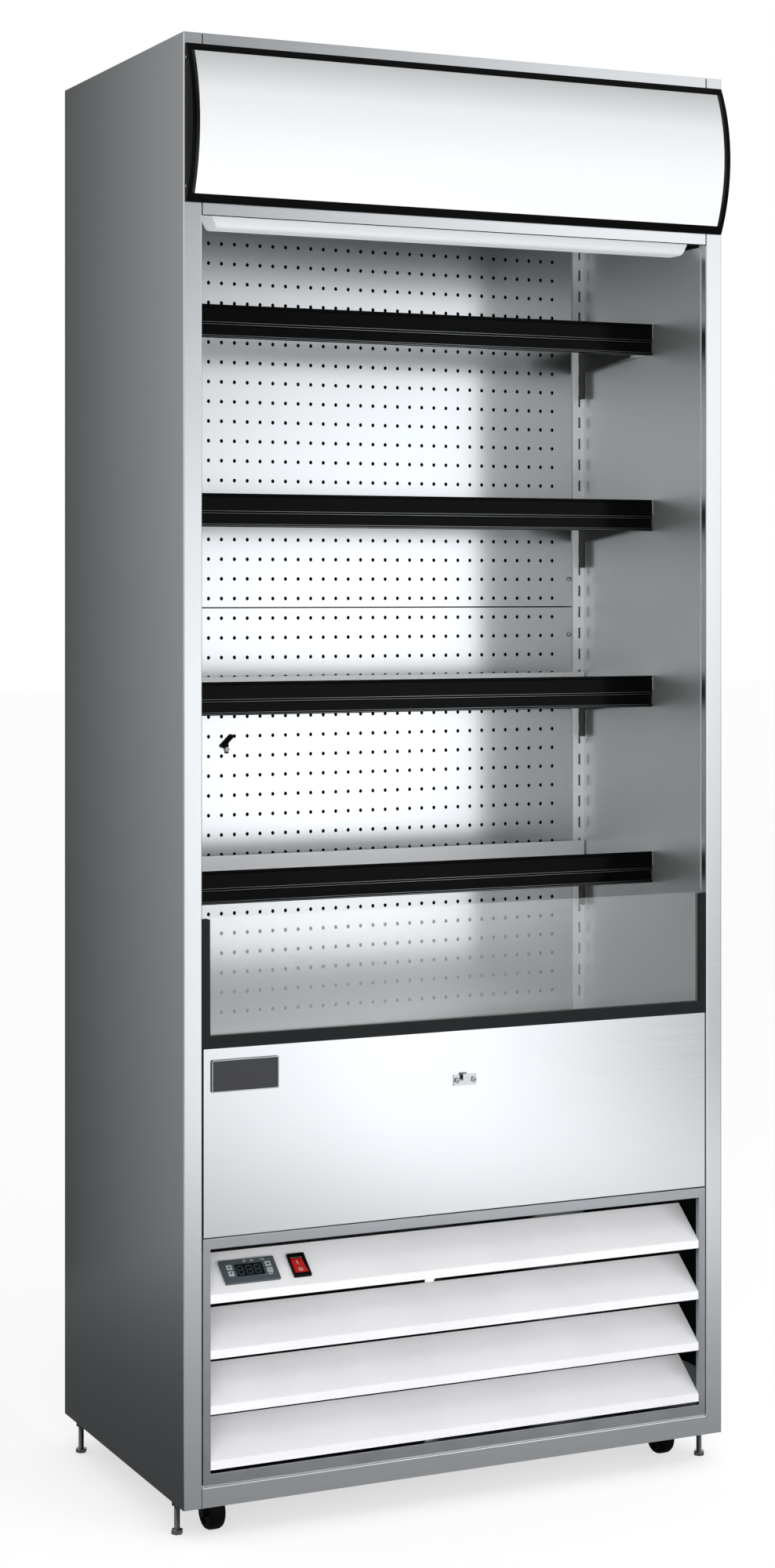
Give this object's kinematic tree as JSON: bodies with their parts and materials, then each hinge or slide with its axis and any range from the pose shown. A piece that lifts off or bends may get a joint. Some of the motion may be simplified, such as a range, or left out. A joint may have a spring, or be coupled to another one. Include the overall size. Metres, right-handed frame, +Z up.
{
  "type": "refrigerated display case",
  "caption": "Upright open-front refrigerated display case: lit curved header, adjustable shelves, low glass front, louvred machine bay, pull-down night curtain, levelling feet and casters.",
  "frame": {"origin": "on the floor, under the middle of the whole case's outline", "axes": "+Z up, -Y out of the open front, +X to the right of someone facing the front"},
  "size_m": [0.83, 0.518, 2],
  "materials": {
    "steel_sheet": "brushed",
    "white_plastic": "satin",
    "black_plastic": "satin",
    "black_steel": "satin",
    "white_paint": "satin",
    "anodised": "satin",
    "coil": "dull",
    "clear_glass": "polished",
    "plate": "gloss",
    "bright_metal": "polished",
    "red_plastic": "gloss",
    "control_plastic": "satin",
    "wheel_plastic": "satin",
    "shell_steel": "satin",
    "curtain": "satin"
  },
  "bodies": {
    "cabinet": {"left_side_panel": "steel_sheet", "right_side_panel": "steel_sheet", "top_panel": "steel_sheet", "rear_panel": "steel_sheet", "base_frame": "steel_sheet", "inner_liner": "steel_sheet", "front_cross_rails": "steel_sheet", "header_housing": "steel_sheet", "ceiling_panel": "steel_sheet", "rear_baffles": "steel_sheet", "shelf_standards": "steel_sheet", "lower_front_panel": "steel_sheet", "deck_panel": "steel_sheet", "well_pan": "steel_sheet", "header_lens": "white_plastic", "lamp_diffuser": "white_plastic", "header_trim": "black_plastic", "lamp_holders": "black_plastic", "glass_channel": "black_plastic", "switch_housing": "black_plastic", "temperature_probe": "black_plastic", "shelf_brackets": "black_steel", "caster_plates": "black_steel", "louvres": "white_paint", "grille_frame": "anodised", "evaporator": "coil", "condenser": "coil", "glass_pane": "clear_glass", "name_plate": "plate", "curtain_catch": "bright_metal", "fasteners": "bright_metal", "controller_body": "control_plastic", "compressor": "shell_steel"},
    "shelf_1": {"shelf_1": "steel_sheet", "price_rail_1": "black_plastic"},
    "shelf_2": {"shelf_2": "steel_sheet", "price_rail_2": "black_plastic"},
    "shelf_3": {"shelf_3": "steel_sheet", "price_rail_3": "black_plastic"},
    "shelf_4": {"shelf_4": "steel_sheet", "price_rail_4": "black_plastic"},
    "levelling_foot_front_left": {"levelling_foot_front_left": "bright_metal"},
    "levelling_foot_front_right": {"levelling_foot_front_right": "bright_metal"},
    "levelling_foot_rear_left": {"levelling_foot_rear_left": "bright_metal"},
    "levelling_foot_rear_right": {"levelling_foot_rear_right": "bright_metal"},
    "caster_fork_left": {"caster_fork_left": "black_steel"},
    "front_wheel_left": {"front_wheel_left": "wheel_plastic"},
    "rear_wheel_left": {"rear_wheel_left": "wheel_plastic"},
    "caster_fork_right": {"caster_fork_right": "black_steel"},
    "front_wheel_right": {"front_wheel_right": "wheel_plastic"},
    "rear_wheel_right": {"rear_wheel_right": "wheel_plastic"},
    "rocker": {"rocker": "red_plastic"},
    "button_lower_left": {"button_lower_left": "control_plastic"},
    "button_lower_right": {"button_lower_right": "control_plastic"},
    "button_upper_left": {"button_upper_left": "control_plastic"},
    "button_upper_right": {"button_upper_right": "control_plastic"},
    "evaporator_fan": {"evaporator_fan": "black_plastic"},
    "condenser_fan": {"condenser_fan": "black_plastic"},
    "curtain_bar": {"curtain_bar": "anodised"},
    "curtain_roller": {"curtain_roller": "curtain"}
  },
  "joints": [
    {"name": "shelf_1_lift", "type": "slide", "parent": "cabinet", "child": "shelf_1", "axis": [0, 0, 1], "range_m": [0, 0.04]},
    {"name": "shelf_2_lift", "type": "slide", "parent": "cabinet", "child": "shelf_2", "axis": [0, 0, 1], "range_m": [0, 0.04]},
    {"name": "shelf_3_lift", "type": "slide", "parent": "cabinet", "child": "shelf_3", "axis": [0, 0, 1], "range_m": [0, 0.04]},
    {"name": "shelf_4_lift", "type": "slide", "parent": "cabinet", "child": "shelf_4", "axis": [0, 0, 1], "range_m": [0, 0.04]},
    {"name": "levelling_foot_front_left_screw", "type": "slide", "parent": "cabinet", "child": "levelling_foot_front_left", "axis": [0, 0, 1], "range_m": [-0.012, 0.025]},
    {"name": "levelling_foot_front_right_screw", "type": "slide", "parent": "cabinet", "child": "levelling_foot_front_right", "axis": [0, 0, 1], "range_m": [-0.012, 0.025]},
    {"name": "levelling_foot_rear_left_screw", "type": "slide", "parent": "cabinet", "child": "levelling_foot_rear_left", "axis": [0, 0, 1], "range_m": [-0.012, 0.025]},
    {"name": "levelling_foot_rear_right_screw", "type": "slide", "parent": "cabinet", "child": "levelling_foot_rear_right", "axis": [0, 0, 1], "range_m": [-0.012, 0.025]},
    {"name": "caster_fork_left_swivel", "type": "hinge", "parent": "cabinet", "child": "caster_fork_left", "pos_m": [-0.358, -0.171, 0.06], "axis": [0, 0, 1], "continuous": true},
    {"name": "front_wheel_left_roll", "type": "hinge", "parent": "caster_fork_left", "child": "front_wheel_left", "pos_m": [-0.358, -0.188, 0.0265], "axis": [1, 0, 0], "continuous": true},
    {"name": "rear_wheel_left_roll", "type": "hinge", "parent": "cabinet", "child": "rear_wheel_left", "pos_m": [-0.358, 0.199, 0.0265], "axis": [1, 0, 0], "continuous": true},
    {"name": "caster_fork_right_swivel", "type": "hinge", "parent": "cabinet", "child": "caster_fork_right", "pos_m": [0.358, -0.171, 0.06], "axis": [0, 0, 1], "continuous": true},
    {"name": "front_wheel_right_roll", "type": "hinge", "parent": "caster_fork_right", "child": "front_wheel_right", "pos_m": [0.358, -0.154, 0.0265], "axis": [1, 0, 0], "continuous": true},
    {"name": "rear_wheel_right_roll", "type": "hinge", "parent": "cabinet", "child": "rear_wheel_right", "pos_m": [0.358, 0.199, 0.0265], "axis": [1, 0, 0], "continuous": true},
    {"name": "rocker_tilt", "type": "hinge", "parent": "cabinet", "child": "rocker", "pos_m": [-0.2385, -0.20379, 0.34471], "axis": [1, 0, 0], "range_deg": [0, 16.5]},
    {"name": "button_lower_left_press", "type": "slide", "parent": "cabinet", "child": "button_lower_left", "axis": [0, 0.6149, -0.7886], "range_m": [0, 0.0008], "stiffness_N_per_m": 1500, "springref_m": -0.0008},
    {"name": "button_lower_right_press", "type": "slide", "parent": "cabinet", "child": "button_lower_right", "axis": [0, 0.6149, -0.7886], "range_m": [0, 0.0008], "stiffness_N_per_m": 1500, "springref_m": -0.0008},
    {"name": "button_upper_left_press", "type": "slide", "parent": "cabinet", "child": "button_upper_left", "axis": [0, 0.6149, -0.7886], "range_m": [0, 0.0008], "stiffness_N_per_m": 1500, "springref_m": -0.0008},
    {"name": "button_upper_right_press", "type": "slide", "parent": "cabinet", "child": "button_upper_right", "axis": [0, 0.6149, -0.7886], "range_m": [0, 0.0008], "stiffness_N_per_m": 1500, "springref_m": -0.0008},
    {"name": "evaporator_fan_spin", "type": "hinge", "parent": "cabinet", "child": "evaporator_fan", "pos_m": [0, -0.087, 0.495], "axis": [0, 1, 0], "continuous": true},
    {"name": "condenser_fan_spin", "type": "hinge", "parent": "cabinet", "child": "condenser_fan", "pos_m": [-0.18, -0.064, 0.21], "axis": [0, 1, 0], "continuous": true},
    {"name": "curtain_pull", "type": "slide", "parent": "cabinet", "child": "curtain_bar", "axis": [0, -0.0155, -0.9999], "range_m": [0, 1.16], "stiffness_N_per_m": 12, "springref_m": -1},
    {"name": "curtain_wind", "type": "hinge", "parent": "cabinet", "child": "curtain_roller", "pos_m": [0, -0.2036, 1.81], "axis": [1, 0, 0], "range_deg": [0, 3620]}
  ],
  "couplings": [
    {"joint": "curtain_wind", "follows": "curtain_pull", "rad_per_m": 54.348}
  ]
}
